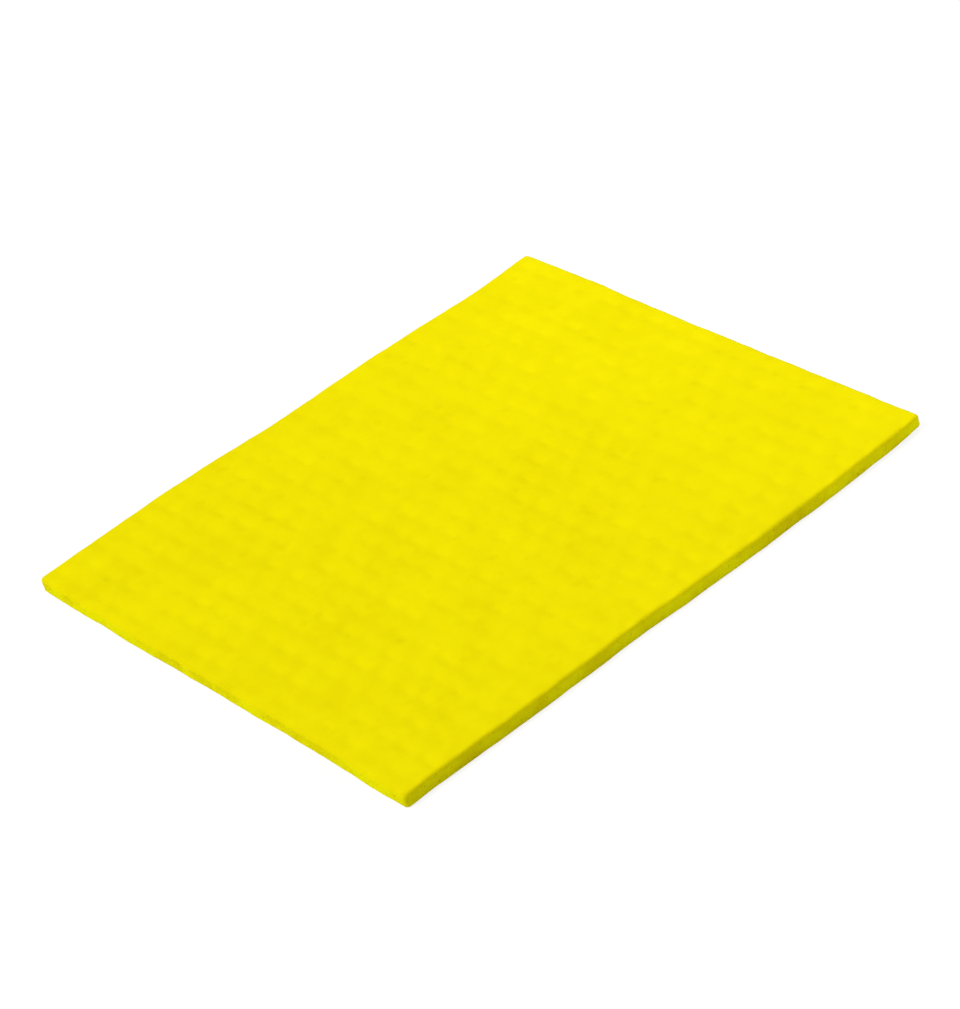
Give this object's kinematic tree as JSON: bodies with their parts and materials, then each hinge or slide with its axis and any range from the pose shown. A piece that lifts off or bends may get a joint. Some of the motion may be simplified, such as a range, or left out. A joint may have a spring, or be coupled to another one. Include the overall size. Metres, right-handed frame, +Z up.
{
  "type": "sponge cloth",
  "caption": "Flat rectangular cellulose sponge cloth for wiping surfaces, with staggered embossed dashes on both faces and rounded corners.",
  "frame": {"origin": "middle of the underside, on the surface that the cloth lies on", "axes": "+X along the cloth's length, +Y across it, +Z up through its thickness"},
  "size_m": [0.2, 0.175, 0.005],
  "materials": {
    "sponge": "matte yellow cellulose sponge with fine pores and short fibres"
  },
  "bodies": {
    "root": {"sponge_cloth": "sponge"}
  },
  "joints": []
}
